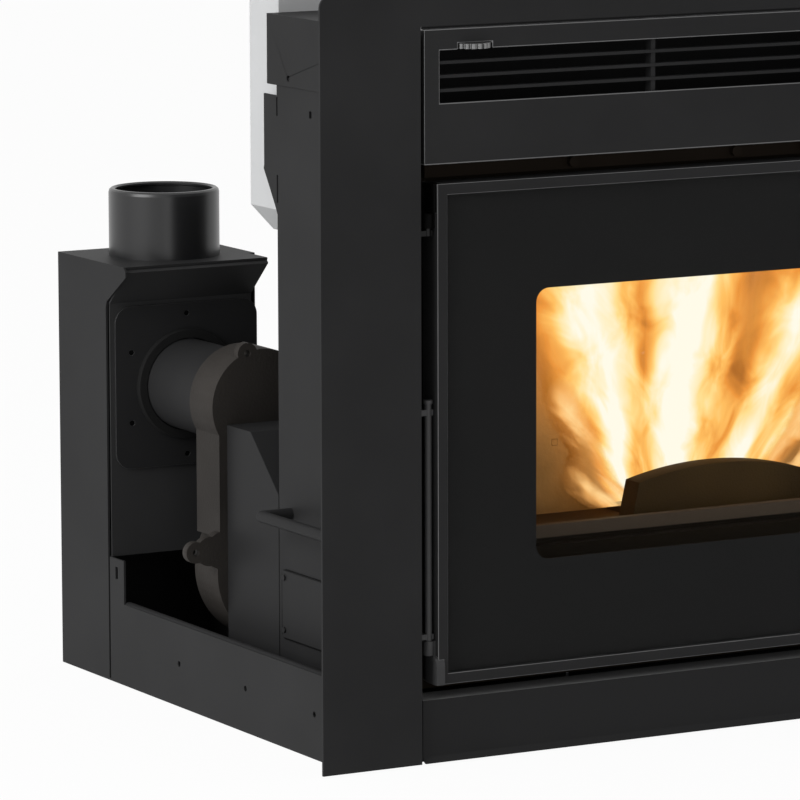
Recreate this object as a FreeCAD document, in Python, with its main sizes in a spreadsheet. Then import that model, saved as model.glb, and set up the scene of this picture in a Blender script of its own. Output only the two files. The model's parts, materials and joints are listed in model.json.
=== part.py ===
import FreeCAD, Part
import os
import re
import Sketcher

# Pellet fireplace insert: a stove on slide rails inside a floor tray with a flue column.
# Millimetres. X runs to the viewer's right, Y runs back, Z runs up from the floor.
# Depths are counted from the face of the surround, so every Y below starts at front_y.

SIZES = [
    ("frame_half", 450, "half of the surround's width"),
    ("frame_high", 652, "top of the surround"),
    ("strip_wide", 94.3, "side strip of the surround"),
    ("bar_high", 30.5, "top bar of the surround"),
    ("frame_thick", 2.5, "surround sheet"),
    ("frame_round", 12, "top corners of the surround"),
    ("floor_gap", 1, "surround above the floor"),
    ("depth_all", 556, "surround face to tray rear"),
    ("wheel_out", 10, "thumbwheel in front of the surround"),
    ("tray_inset", 28.2, "surround edge to tray side"),
    ("tray_high", 74, "tray side wall"),
    ("tray_front", 14, "front of the tray"),
    ("sheet", 2, "tray and casing sheet"),
    ("tab_high", 113.5, "rear tab of the tray wall"),
    ("tab_front", 428, "front edge of the rear tab"),
    ("col_front", 459, "front edge of the flue column"),
    ("col_wide", 150.6, "width of the flue column"),
    ("col_top", 379, "top of the flue column"),
    ("lip_front", 418.7, "front of the column's hood"),
    ("lip_low", 341, "where the hood meets the column front"),
    ("hood_in", 6, "column side to the hood's right end"),
    ("collar_in", 75.8, "tray side to flue collar axis"),
    ("collar_y", 492, "flue collar axis"),
    ("collar_r", 50, "flue collar outer radius"),
    ("collar_wall", 2.5, "flue collar wall"),
    ("collar_top", 440, "top of the flue collar"),
    ("pipe_in", 77.3, "tray side to exhaust pipe axis"),
    ("pipe_z", 265.7, "exhaust pipe axis"),
    ("pipe_r", 41, "exhaust pipe outer radius"),
    ("flange_y", 452, "front of the flange plate"),
    ("flange_half", 71.5, "half of the flange plate"),
    ("flange_round", 15, "corner of the flange plate"),
    ("flange_pcd", 64, "screw circle radius of the flange plate"),
    ("body_inset", 70, "surround edge to casing side"),
    ("body_rear", 208.8, "rear of the casing"),
    ("body_low", 30, "underside of the casing"),
    ("cover_high", 60.4, "height of the top cover"),
    ("cover_rear", 223.8, "rear of the top cover"),
    ("panel_gap", 3.4, "surround opening to the panels"),
    ("panel_drop", 2.5, "top bar to the top panel"),
    ("panel_high", 112.4, "height of the top panel"),
    ("jamb_gap", 1.3, "surround opening to the jambs"),
    ("slot_margin", 14.7, "panel end to the grille opening"),
    ("slot_drop", 17.8, "panel top to the grille opening"),
    ("slot_tall", 43.8, "height of the grille opening"),
    ("blade", 2.6, "grille blade thickness"),
    ("plinth_top", 54.4, "top of the bottom panel"),
    ("plinth_deep", 36, "rear of the bottom panel's top flange"),
    ("door_gap", 15.7, "surround opening to the door"),
    ("door_lift", 13.1, "bottom panel to the door"),
    ("door_drop", 16.3, "top panel to the door"),
    ("door_deep", 26, "door thickness"),
    ("rim", 9.3, "painted rim round the glass"),
    ("win_side", 97.9, "door side to the window"),
    ("win_rise", 97.3, "door bottom to the window"),
    ("win_drop", 94.1, "door top to the window"),
    ("win_round", 12, "window corner"),
    ("glass", 4, "glass thickness"),
    ("hinge_gap", 5.2, "door side to the hinge axis"),
    ("hinge_y", 8, "door hinge axis"),
    ("pin_r", 3, "hinge pin radius"),
    ("pin_gap", 0.06, "play round a turning pin"),
    ("duct_wide", 95, "casing side to the firebox"),
    ("fire_front", 30, "front of the firebox"),
    ("fire_rear", 200, "rear of the firebox"),
    ("fire_low", 96, "floor of the firebox"),
    ("fire_drop", 4.3, "door top to the firebox top"),
    ("lining", 14, "fire board thickness"),
    ("hop_inset", 12, "casing side to the hopper"),
    ("hop_front", 227, "front wall of the hopper"),
    ("hop_rear", 280.6, "rear wall of the hopper"),
    ("fold_rise", 69, "auger axis to where the hopper narrows"),
    ("hop_drop", 12, "surround top to the hopper rim"),
    ("hop_sheet", 1.5, "hopper sheet"),
    ("aug_y", 254, "auger axis"),
    ("aug_z", 378, "auger axis"),
    ("aug_r", 18, "auger flight radius"),
    ("fan_in", 58, "casing side to the exhaust fan axis"),
    ("fan_z", 118, "exhaust fan axis"),
    ("fan_r", 68, "exhaust scroll radius"),
    ("cast_front", 306, "front of the exhaust casting"),
    ("cast_rear", 350, "rear of the exhaust casting"),
    ("cast_half", 43, "exhaust pipe axis to the casting's left wall"),
    ("blow_y", 118, "room blower axis"),
    ("blow_z", 66, "room blower axis"),
    ("blow_r", 22, "room blower radius"),
    ("wheel_in", 33.6, "grille opening's end to the thumbwheel"),
    ("wheel_r", 16, "thumbwheel radius"),
    ("rail_in", 130, "casing side to the slide rail"),
    ("grip_r", 5.2, "radius of the carrying handles"),
]

# Places that follow from the sizes above.
PLACES = {
    "front_y": "wheel_out - (depth_all + wheel_out) / 2",
    "open_half": "frame_half - strip_wide",
    "tray_half": "frame_half - tray_inset",
    "body_half": "frame_half - body_inset",
    "panel_half": "open_half - panel_gap",
    "jamb_half": "open_half + jamb_gap",
    "door_half": "open_half - door_gap",
    "slot_half": "panel_half - slot_margin",
    "divider_x": "slot_half * 0.3836",
    "win_half": "door_half - win_side",
    "fire_half": "body_half - duct_wide",
    "hop_half": "body_half - hop_inset",
    "hinge_x": "-door_half - hinge_gap",
    "col_right": "-tray_half + col_wide",
    "collar_x": "-tray_half + collar_in",
    "pipe_x": "-tray_half + pipe_in",
    "fan_x": "-body_half + fan_in",
    "cast_left": "pipe_x - cast_half",
    "wheel_x": "-slot_half + wheel_in",
    "wheel_y": "wheel_r - wheel_out",
    "wheel_low": "panel_top - slot_drop + 0.6",
    "wheel_top": "panel_top - slot_drop + 4.8",
    "bar_low": "frame_high - bar_high",
    "panel_top": "bar_low - panel_drop",
    "panel_low": "panel_top - panel_high",
    "slot_high": "panel_top - slot_drop",
    "slot_low": "slot_high - slot_tall",
    "cover_top": "panel_top - 1",
    "cover_low": "cover_top - cover_high",
    "door_low": "plinth_top + door_lift",
    "door_top": "panel_low - door_drop",
    "win_low": "door_low + win_rise",
    "win_top": "door_top - win_drop",
    "fire_top": "door_top - fire_drop",
    "hop_top": "frame_high - hop_drop",
    "hop_fold": "aug_z + fold_rise",
    "hop_base": "aug_z + 24",
    "chute_low": "aug_z - 78",
    "chute_high": "aug_z - 32",
    "rail_x": "body_half - rail_in",
}

doc = FreeCAD.newDocument("pellet_insert")
dims = doc.addObject("Spreadsheet::Sheet", "dims")
for row, (alias, value, note) in enumerate(SIZES, 1):
    dims.set("A%d" % row, note)
    dims.set("B%d" % row, str(value))
    dims.setAlias("B%d" % row, alias)
doc.recompute()

NODES = []
V = FreeCAD.Vector
TURN = {
    "x": FreeCAD.Rotation(V(1, 1, 1), 120),
    "y": FreeCAD.Rotation(V(1, 0, 0), 90),
    "z": FreeCAD.Rotation(),
}
ALONG = {"x": V(1, 0, 0), "y": V(0, 1, 0), "z": V(0, 0, 1)}


def ex(text):
    """Spreadsheet expression for a formula written with the names of sizes and places."""
    def full(word):
        name = word.group(1)
        return "(%s)" % ex(PLACES[name]) if name in PLACES else "dims." + name

    return re.sub(r"\b([a-z][a-z_0-9]*)\b", full, str(text))


def bind(obj, prop, text):
    obj.setExpression(prop, ex(text))


def place(obj, x, y, z):
    bind(obj, "Placement.Base.x", x)
    bind(obj, "Placement.Base.y", "front_y + (%s)" % y)
    bind(obj, "Placement.Base.z", z)


def size(name):
    """Present value of one size, for edge rounds."""
    return float(dims.get(name))


def box(x, y, z):
    """Block between two X, two depths and two heights."""
    obj = doc.addObject("Part::Box", "block")
    for prop, (low, high) in (("Length", x), ("Width", y), ("Height", z)):
        bind(obj, prop, "(%s) - (%s)" % (high, low))
    place(obj, x[0], y[0], z[0])
    return obj


def rod(axis, radius, x, y, z):
    """Cylinder along one axis; that axis gets (low, high), the others one value."""
    obj = doc.addObject("Part::Cylinder", "round")
    at = {"x": x, "y": y, "z": z}
    low, high = at[axis]
    at[axis] = low
    turn = {"x": FreeCAD.Rotation(V(0, 1, 0), 90), "y": FreeCAD.Rotation(V(1, 0, 0), -90),
            "z": FreeCAD.Rotation()}
    obj.Placement = FreeCAD.Placement(V(0, 0, 0), turn[axis])
    bind(obj, "Radius", radius)
    bind(obj, "Height", "(%s) - (%s)" % (high, low))
    place(obj, at["x"], at["y"], at["z"])
    return obj


def outline(axis, points):
    """Closed sketch whose every corner is held by two sizes."""
    sk = doc.addObject("Sketcher::SketchObject", "outline")
    count = len(points)
    start = [V(100 + 10 * (k % 3), 10 * k, 0) for k in range(count)]
    for k in range(count):
        sk.addGeometry(Part.LineSegment(start[k], start[(k + 1) % count]), False)
    for k in range(count):
        sk.addConstraint(Sketcher.Constraint("Coincident", k, 2, (k + 1) % count, 1))
    for k, (u, w) in enumerate(points):
        a = sk.addConstraint(Sketcher.Constraint("DistanceX", -1, 1, k, 1, start[k].x))
        b = sk.addConstraint(Sketcher.Constraint("DistanceY", -1, 1, k, 1, start[k].y))
        sk.setExpression("Constraints[%d]" % a, ex(u))
        sk.setExpression("Constraints[%d]" % b, ex(w))
    sk.Placement = FreeCAD.Placement(V(0, 0, 0), TURN[axis])
    return sk


def prism(axis, points, low, high):
    """Outline pushed along one axis. Outline corners: x -> (depth, Z), y -> (X, Z), z -> (X, depth)."""
    sk = outline(axis, points)
    at = {"x": "0", "y": "0", "z": "0"}
    at[axis] = low
    place(sk, at["x"], at["y"], at["z"])
    obj = doc.addObject("Part::Extrusion", "prism")
    obj.Base = sk
    obj.DirMode = "Custom"
    obj.Dir = ALONG[axis]
    obj.Solid = True
    bind(obj, "LengthFwd", "(%s) - (%s)" % (high, low))
    return obj


def lathe(axis, points, x, y, z):
    """Outline of (radius, height along the axis) turned about an axis through x, y, z."""
    sk = outline("z", points)
    turn = {"z": FreeCAD.Rotation(V(1, 0, 0), 90), "y": FreeCAD.Rotation(),
            "x": FreeCAD.Rotation(V(0, 0, 1), -90)}
    sk.Placement = FreeCAD.Placement(V(0, 0, 0), turn[axis])
    place(sk, x, y, z)
    obj = doc.addObject("Part::Revolution", "turned")
    obj.Source = sk
    obj.Axis = ALONG[axis]
    obj.Angle = 360
    obj.Solid = True
    bind(obj, "Base.x", x)
    bind(obj, "Base.y", "front_y + (%s)" % y)
    bind(obj, "Base.z", z)
    return obj


def fuse(*shapes):
    obj = doc.addObject("Part::MultiFuse", "joined")
    obj.Shapes = list(shapes)
    obj.Refine = True
    return obj


def cut(base, *tools):
    obj = doc.addObject("Part::Cut", "cut")
    obj.Base = base
    obj.Tool = tools[0] if len(tools) == 1 else fuse(*tools)
    obj.Refine = True
    return obj


def mirror(source):
    obj = doc.addObject("Part::Mirroring", "mirrored")
    obj.Source = source
    obj.Normal = V(1, 0, 0)
    return obj


def rounded(base, radius, axis, want=None):
    """Rounds the straight edges that run along one axis; want picks some by their middle."""
    doc.recompute()
    picked = []
    for k, edge in enumerate(base.Shape.Edges, 1):
        run = edge.Vertexes[-1].Point - edge.Vertexes[0].Point
        if run.Length < 1e-6 or abs(run.dot(ALONG[axis])) < 0.999 * run.Length:
            continue
        middle = edge.CenterOfMass
        if want is None or want(middle):
            picked.append((k, radius, radius))
    obj = doc.addObject("Part::Fillet", "rounded")
    obj.Base = base
    obj.Edges = picked
    return obj


def node(name, obj):
    obj.Label = name
    NODES.append(obj)
    return obj


def pair(name, build):
    """Left piece and its mirror image on the right."""
    left = node(name + "_left", build())
    node(name + "_right", mirror(left))


def screw_ring(count, axis_x, axis_z, circle, radius, low, high, turn):
    """Bores along Y on a circle."""
    spots = []
    for k in range(count):
        way = FreeCAD.Rotation(V(0, 1, 0), turn + 360.0 * k / count).multVec(V(0, 0, 1))
        spots.append(rod("y", radius, "%s + %s * (%.6f)" % (axis_x, circle, way.x), (low, high),
                         "%s + %s * (%.6f)" % (axis_z, circle, way.z)))
    return spots


# Floor tray: open sheet pan, rolled wall tops, rear tabs, anchor holes.
def tray():
    walls = []
    for sign in ("-", ""):
        edge = "%s tray_half" % sign
        inner = "%s (tray_half - sheet)" % sign
        span = (edge, inner) if sign else (inner, edge)
        walls.append(box(span, ("tray_front", "tab_front + 28"), ("0", "tray_high")))
        walls.append(box(span, ("tab_front", "tab_front + 28"), ("0", "tab_high")))
        roll = "%s (tray_half - 5)" % sign
        walls.append(rod("y", "5", roll, ("tray_front", "tab_front"), "tray_high - 3"))
    walls.append(box(("-tray_half", "tray_half"), ("tray_front", "depth_all"), ("0", "sheet")))
    walls.append(box(("-tray_half", "tray_half"), ("tray_front", "tray_front + sheet"), ("0", "16")))
    walls.append(box(("col_right + 1", "tray_half"), ("depth_all - sheet", "depth_all"),
                     ("0", "tray_high")))
    walls.append(box(("tray_half - sheet", "tray_half"), ("tab_front", "depth_all"), ("0", "tray_high")))
    holes = []
    for deep in ("68.4", "194", "320"):
        holes.append(rod("x", "2.6", ("-tray_half - 5", "tray_half + 5"), deep, "38.6"))
    holes.append(box(("-tray_half - 5", "tray_half + 5"), ("tab_front + 12", "tab_front + 17"),
                     ("95", "106")))
    for x in ("-tray_half + 91.8", "tray_half - 91.8"):
        for deep in ("60", "400"):
            holes.append(rod("z", "4.5", x, deep, ("-1", "sheet + 1")))
    for x in ("-rail_x", "rail_x"):
        holes.append(box((x + " - 13.5", x + " + 13.5"), ("tray_front - 5", "tray_front + 5"),
                         ("sheet", "20")))
    return cut(fuse(*walls), *holes)


node("base_tray", tray())


# Flue column: two sides with the hood's profile, a back and a top with the flue bore.
def column():
    side = [("col_front", "sheet"), ("depth_all", "sheet"), ("depth_all", "col_top"),
            ("lip_front + 4", "col_top"),
            ("lip_front", "col_top - 4"), ("lip_front", "col_top - 9"), ("col_front - 2", "lip_low + 4"),
            ("col_front", "lip_low - 2")]
    left = prism("x", side, "-tray_half", "-tray_half + sheet")
    right = box(("col_right - sheet", "col_right"), ("col_front", "depth_all"), ("sheet", "col_top"))
    back = box(("-tray_half", "col_right"), ("depth_all - sheet", "depth_all"), ("sheet", "col_top"))
    top = box(("-tray_half", "col_right"), ("col_front", "depth_all"), ("col_top - sheet", "col_top"))
    hood_top = box(("-tray_half", "col_right - hood_in"), ("lip_front + 4", "col_front + 1"),
                   ("col_top - sheet", "col_top"))
    shelf = box(("-tray_half", "col_right"), ("col_front + 2", "depth_all"), ("118", "118 + sheet"))
    bore = rod("z", "collar_r - collar_wall", "collar_x", "collar_y", ("col_top - 10", "col_top + 10"))
    return cut(fuse(left, right, back, top, hood_top, shelf), bore)


node("flue_column", column())

hood = [("col_front - 4", "113.5"), ("col_front - 2.5", "113.5"), ("col_front - 2.5", "lip_low + 3"),
        ("lip_front + 5", "col_top - 5"), ("lip_front + 5", "col_top - 2"),
        ("lip_front + 2.5", "col_top - 5"),
        ("col_front - 4", "lip_low + 2")]
front_sheet = prism("x", hood, "-tray_half + sheet", "col_right - hood_in")
node("column_front",
     cut(front_sheet, rod("y", "pipe_r + 2", "pipe_x", ("col_front - 20", "col_front + 10"), "pipe_z")))

collar = [("collar_r - collar_wall", "0"), ("collar_r", "0"), ("collar_r", "collar_top - col_top - 4"),
          ("collar_r - 0.7", "collar_top - col_top - 1.6"),
          ("collar_r - 2.4", "collar_top - col_top - 0.2"),
          ("collar_r - 4.2", "collar_top - col_top"), ("collar_r - 6", "collar_top - col_top - 1.4"),
          ("collar_r - 6", "collar_top - col_top - 3"),
          ("collar_r - collar_wall", "collar_top - col_top - 4")]
node("flue_collar", lathe("z", collar, "collar_x", "collar_y", "col_top"))

plate = box(("pipe_x - flange_half", "pipe_x + flange_half"), ("flange_y", "flange_y + 3"),
            ("pipe_z - flange_half - 2", "pipe_z + flange_half + 2"))
plate = rounded(plate, size("flange_round"), "y")
bores = screw_ring(6, "pipe_x", "pipe_z", "flange_pcd", "2.6", "flange_y - 5", "flange_y + 5", 0)
bores.append(rod("y", "pipe_r + 1", "pipe_x", ("flange_y - 15", "flange_y + 5"), "pipe_z"))
node("flange_plate", cut(plate, *bores))

ring = [("pipe_r + 1", "-4"), ("pipe_r + 8", "-4"), ("pipe_r + 9.5", "-2.5"), ("pipe_r + 9.5", "0"),
        ("pipe_r + 1", "0")]
node("pipe_seal", lathe("y", ring, "pipe_x", "flange_y", "pipe_z"))


# Slide rails on the tray and the runners of the stove that fit them.
def rail():
    low, high = "-rail_x - 13", "-rail_x + 13"
    floor = box((low, high), ("24", "420"), ("sheet", "sheet + 2"))
    walls = [box((low, "-rail_x - 11"), ("24", "420"), ("sheet", "22")),
             box(("-rail_x + 11", high), ("24", "420"), ("sheet", "22")),
             box((low, "-rail_x - 7"), ("24", "420"), ("20", "22")),
             box(("-rail_x + 7", high), ("24", "420"), ("20", "22"))]
    return fuse(floor, *walls)


pair("slide_rail", rail)


def runner():
    foot = box(("-rail_x - 10.5", "-rail_x + 10.5"), ("30", "400"), ("sheet + 2.4", "19.5"))
    stem = box(("-rail_x - 6.5", "-rail_x + 6.5"), ("30", "204"), ("18", "body_low"))
    return fuse(foot, stem)


pair("runner", runner)


# Casing: floor, back, two sides and the top cover.
node("casing_floor",
     box(("-body_half + sheet", "body_half - sheet"), ("10", "body_rear - sheet"),
         ("body_low", "body_low + sheet")))

back_holes = [box(("-45", "45"), ("body_rear - 10", "body_rear + 5"), ("chute_low - 2", "chute_high + 12")),
              rod("y", "42", "fan_x", ("body_rear - 10", "body_rear + 5"), "150")]
back_sheet = box(("-body_half + sheet", "body_half - sheet"), ("body_rear - sheet", "body_rear"),
                 ("body_low", "cover_top - 1.5"))
node("casing_back", cut(back_sheet, *back_holes))


def casing_side():
    shape = [("frame_thick + 1.5", "body_low"), ("body_rear", "body_low"),
             ("body_rear", "cover_low - 111.6"),
             ("body_rear + 5", "cover_low - 102.9"), ("body_rear + 25", "cover_low - 73.8"),
             ("body_rear + 24", "cover_low - 70.6"),
             ("body_rear + 24", "cover_low - 9"), ("body_rear", "cover_low - 9"),
             ("body_rear", "cover_low + 8"),
             ("frame_thick + 1.5", "cover_low + 8")]
    sheet_side = prism("x", shape, "-body_half", "-body_half + sheet")
    cuts = [box(("-body_half - 5", "-body_half + 5"), ("body_rear - 1.5", "body_rear + 0.5"),
                ("cover_low - 26.6", "cover_low - 10.6")),
            box(("-body_half - 5", "-body_half + 5"), ("body_rear - 1.5", "body_rear + 0.5"),
                ("cover_low - 101.6", "cover_low - 77.6")),
            box(("-body_half - 5", "-body_half + 5"), ("146", "150"),
                ("cover_low - 23.6", "cover_low - 17.6"))]
    return cut(sheet_side, *cuts)


pair("casing_side", casing_side)


def cover():
    top = box(("-body_half - 1.5", "body_half + 1.5"), ("16", "cover_rear"),
              ("cover_top - 1.5", "cover_top"))
    skirts = [box(("-body_half - 1.5", "-body_half"), ("4", "cover_rear"), ("cover_low", "cover_top")),
              box(("body_half", "body_half + 1.5"), ("4", "cover_rear"), ("cover_low", "cover_top")),
              box(("-body_half - 1.5", "body_half + 1.5"), ("cover_rear - 1.5", "cover_rear"),
                  ("cover_low + 30", "cover_top"))]
    hole = rod("x", "2.5", ("-body_half - 10", "body_half + 10"), "185", "cover_low + 7.4")
    return cut(fuse(top, *skirts), hole)


node("top_cover", cover())


# Surround: an inverted U of sheet with rounded top corners, and the plate that carries it.
def surround():
    sheet_face = box(("-frame_half", "frame_half"), ("0", "frame_thick"), ("floor_gap", "frame_high"))
    sheet_face = rounded(sheet_face, size("frame_round"), "y", lambda m: m.z > size("frame_high") / 2)
    hole = box(("-frame_half + strip_wide", "frame_half - strip_wide"), ("-5", "frame_thick + 5"),
               ("-5", "bar_low"))
    return cut(sheet_face, hole)


node("surround", surround())

carrier = box(("-body_half", "body_half"), ("frame_thick", "frame_thick + 1.5"),
              ("body_low", "frame_high - 12"))
carrier_hole = box(("-jamb_half", "jamb_half"), ("-5", "frame_thick + 5"), ("body_low - 5", "bar_low"))


def jamb():
    face = box(("-jamb_half - 1.5", "-jamb_half"), ("frame_thick", "fire_front + 8"),
               ("body_low + 2", "cover_top - 2"))
    link = box(("-body_half + sheet", "-jamb_half"), ("fire_front + 6.5", "fire_front + 8"),
               ("body_low + 2", "cover_low"))
    return fuse(face, link)


jamb_left = jamb()
node("carrier_plate", fuse(cut(carrier, carrier_hole), jamb_left, mirror(jamb_left)))


# Top panel with the air grille.
def top_panel():
    face = box(("-panel_half", "panel_half"), ("0", "1.5"), ("panel_low", "panel_top"))
    sides = [box(("-panel_half", "-panel_half + 1.5"), ("0", "16"), ("panel_low", "panel_top")),
             box(("panel_half - 1.5", "panel_half"), ("0", "16"), ("panel_low", "panel_top")),
             box(("-panel_half", "panel_half"), ("0", "16"), ("panel_low", "panel_low + 1.5")),
             box(("-panel_half", "panel_half"), ("0", "16"), ("panel_top - 1.5", "panel_top"))]
    opening = box(("-slot_half", "slot_half"), ("-5", "5"), ("slot_low", "slot_high"))
    notch = box(("wheel_x - wheel_r - 0.3", "wheel_x + wheel_r + 0.3"), ("-5", "5"),
                ("slot_high - 5", "wheel_top + 0.5"))
    holder = box(("wheel_x - 8", "wheel_x + 8"), ("1", "wheel_y + 8"), ("wheel_top + 2.4", "wheel_top + 8.4"))
    spindle_bore = rod("z", "3 + pin_gap", "wheel_x", "wheel_y", ("wheel_top", "wheel_top + 10"))
    return cut(fuse(face, holder, *sides), opening, notch, spindle_bore)


node("top_panel", top_panel())

slot = "((slot_high - slot_low - 3 * blade) / 4)"
blades = []
for k in (1, 2, 3):
    low = "slot_low + %d * %s + %d * blade" % (k, slot, k - 1)
    blades.append(box(("-slot_half - 4", "slot_half + 4"), ("1.5", "10"), (low, low + " + blade")))
for x in ("-divider_x", "divider_x"):
    blades.append(box((x + " - 2", x + " + 2"), ("2.5", "12"), ("slot_low - 4", "slot_high + 4")))
for x in ("-slot_half - 4", "slot_half + 1"):
    blades.append(box((x, x + " + 3"), ("1.5", "12"), ("slot_low - 4", "slot_high + 4")))
node("grille_blades", fuse(*blades))

plinth = [("0", "floor_gap"), ("5", "floor_gap + 5"), ("5", "plinth_top"), ("plinth_deep", "plinth_top"),
          ("plinth_deep", "plinth_top - 1.5"), ("6.5", "plinth_top - 1.5"), ("6.5", "floor_gap + 4.4"),
          ("2.1", "floor_gap")]
plinth_face = prism("x", plinth, "-panel_half", "panel_half")
plinth_ears = [box((x, x + " + 20"), ("5", "10"), ("body_low", "plinth_top"))
               for x in ("-panel_half", "panel_half - 20")]
node("bottom_panel", fuse(plinth_face, *plinth_ears))

header = box(("-door_half", "door_half"), ("fire_front - 8", "fire_front + 3"),
             ("door_top + 3", "panel_low + 8"))
bolt_heads = [rod("y", "4.5", x, ("fire_front - 13", "fire_front - 8"), "door_top + 9.2")
              for x in ("-198", "-36", "36", "198")]
node("header_strip", fuse(header, *bolt_heads))


# Firebox: welded shell with a front flange, fire boards, burner and sill.
def firebox():
    shell = box(("-fire_half", "fire_half"), ("fire_front + 3", "fire_rear"), ("fire_low", "fire_top"))
    hollow = box(("-fire_half + 3", "fire_half - 3"), ("fire_front - 5", "fire_rear - 3"),
                 ("fire_low + 3", "fire_top - 3"))
    flange = box(("-jamb_half + 0.5", "jamb_half - 0.5"), ("fire_front + 3", "fire_front + 6.5"),
                 ("plinth_top + 4", "panel_low + 8"))
    chute = box(("-42", "2"), ("fire_rear - 10", "fire_rear + 5"), ("chute_low", "chute_high"))
    outlet = box(("-fire_half - 5", "-fire_half + 5"), ("90", "170"), ("112", "158"))
    return cut(fuse(shell, flange), hollow, chute, outlet)


node("firebox", firebox())

back_board = box(("-fire_half + 3", "fire_half - 3"), ("fire_rear - 3 - lining", "fire_rear - 3"),
                 ("168", "fire_top - 24"))
board_hole = box(("-42", "2"), ("fire_rear - 30", "fire_rear"), ("chute_low", "chute_high"))
sensor_hole = box(("-122", "-116"), ("fire_rear - 30", "fire_rear"), ("228", "234"))
node("fire_board_back", cut(back_board, board_hole, sensor_hole))


def side_board():
    return box(("-fire_half + 3", "-fire_half + 3 + lining"), ("fire_front + 8", "fire_rear - 3 - lining"),
               ("168", "fire_top - 24"))


pair("fire_board", side_board)

baffle = [("fire_front + 34", "fire_top - 24"), ("fire_rear - 3", "fire_top - 24"),
          ("fire_rear - 3", "fire_top - 14"),
          ("fire_front + 44", "fire_top - 14")]
node("baffle_plate", prism("x", baffle, "-fire_half + 3", "fire_half - 3"))

deck = box(("-fire_half + 3", "fire_half - 3"), ("62", "fire_rear - 3"), ("164", "168"))
deck_feet = [box((x, x + " + 4"), ("62", "fire_rear - 3"), ("fire_low + 3", "164"))
             for x in ("-120", "116")]
pot_hole = box(("-62", "62"), ("126", "174"), ("160", "172"))
node("burner_deck", cut(fuse(deck, *deck_feet), pot_hole))

sill_bar = box(("-fire_half + 3 + lining", "fire_half - 3 - lining"), ("54", "62"), ("173", "184"))
lower_bar = box(("-fire_half + 3", "fire_half - 3"), ("46", "62"), ("fire_low + 3", "168"))
sill_web = box(("-fire_half + 3 + lining", "fire_half - 3 - lining"), ("58", "62"), ("160", "184"))
node("fire_sill", fuse(sill_bar, lower_bar, sill_web))


# Arched burner shield: a tapered block with a crown cut by a large cylinder.
def shield():
    wide = [("-92", "168"), ("92", "168"), ("76", "240"), ("-76", "240")]
    block = prism("y", wide, "97", "120")
    crown = rod("y", "318", "0", ("90", "130"), "215.5 - 318")
    obj = doc.addObject("Part::MultiCommon", "crowned")
    obj.Shapes = [block, crown]
    return obj


node("burner_shield", shield())


# Burn pot: rimmed cast cup with air holes, lifted out by hand.
def pot():
    cup = box(("-61.5", "61.5"), ("126.5", "173.5"), ("128", "170"))
    lip = box(("-68", "68"), ("121.5", "179"), ("168.3", "173"))
    hollow = box(("-56.5", "56.5"), ("131.5", "168.5"), ("133", "180"))
    holes = []
    for k in range(6):
        holes.append(rod("z", "2.5", "%d" % (-45 + 18 * k), "142", ("120", "140")))
        holes.append(rod("z", "2.5", "%d" % (-45 + 18 * k), "158", ("120", "140")))
    return cut(fuse(cup, lip), hollow, *holes)


node("burn_pot", pot())

duct = box(("-body_half + 18", "-fire_half"), ("80", "body_rear - sheet"), ("104", "196"))
duct_hollow = box(("-body_half + 21", "-fire_half + 5"), ("83", "body_rear"), ("107", "193"))
node("smoke_duct", cut(duct, duct_hollow))

fan_shape = [("body_rear", "body_low"), ("cast_front", "body_low"), ("cast_front", "250.3"),
             ("261.5", "250.3"), ("body_rear", "201")]
fan_inner = [("body_rear - 1", "body_low + 2"), ("cast_front - 2", "body_low + 2"),
             ("cast_front - 2", "248.3"), ("262.3", "248.3"),
             ("body_rear - 1", "198")]
fan_outer = prism("x", fan_shape, "-body_half", "fan_x + 72")
fan_hollow = prism("x", fan_inner, "-body_half + 2", "fan_x + 70")
fan_mouth = rod("y", "40", "fan_x", ("cast_front - 10", "cast_front + 5"), "fan_z")
node("fan_box", cut(fan_outer, fan_hollow, fan_mouth))


# Exhaust casting: a scroll that rises into an elbow and leaves to the rear, with bolt lugs.
def casting():
    def body(grow, low, high):
        scroll = rod("y", "fan_r + (%s)" % grow, "fan_x", (low, high), "fan_z")
        elbow = rod("y", "49.5 + (%s)" % grow, "pipe_x", (low, high), "pipe_z")
        neck = [("cast_left - (%s)" % grow, "fan_z + 32"), ("fan_x + 20 + (%s)" % grow, "fan_z + 32"),
                ("pipe_x + 49 + (%s)" % grow, "pipe_z"), ("cast_left - (%s)" % grow, "pipe_z")]
        return [scroll, elbow, prism("y", neck, low, high)]

    outer = body("0", "cast_front", "cast_rear")
    ears = [(("fan_x - 89", "fan_z + 21"), ("fan_x - 62", "fan_z + 21")),
            (("pipe_x - 14.5", "pipe_z + 46.3"), ("pipe_x - 7.5", "pipe_z + 24.3")),
            (("fan_x + 60", "fan_z + 78"), ("fan_x + 32", "fan_z + 62")),
            (("fan_x + 56", "fan_z - 52"), ("fan_x + 32", "fan_z - 28"))]
    lugs = []
    for (x, z), (to_x, to_z) in ears:
        lugs.append(rod("y", "9.5", x, ("cast_front", "cast_front + 8"), z))
        mid_x = "((%s) + (%s)) / 2" % (x, to_x)
        mid_z = "((%s) + (%s)) / 2" % (z, to_z)
        lugs.append(rod("y", "13", mid_x, ("cast_front", "cast_front + 8"), mid_z))
        lugs.append(rod("y", "17", to_x, ("cast_front", "cast_front + 8"), to_z))
    inner = body("-5", "cast_front + 5", "cast_rear - 5")
    cuts = [rod("y", "36", "fan_x", ("cast_front - 5", "cast_front + 10"), "fan_z"),
            rod("y", "38", "pipe_x", ("cast_rear - 10", "cast_rear + 5"), "pipe_z"),
            rod("y", "6", "fan_x", ("cast_rear - 10", "cast_rear + 5"), "fan_z")]
    for (x, z), root in ears:
        cuts.append(rod("y", "3.2", x, ("cast_front - 5", "cast_front + 15"), z))
    return cut(fuse(*(outer + lugs)), *(inner + cuts))


node("exhaust_casting", casting())

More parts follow.
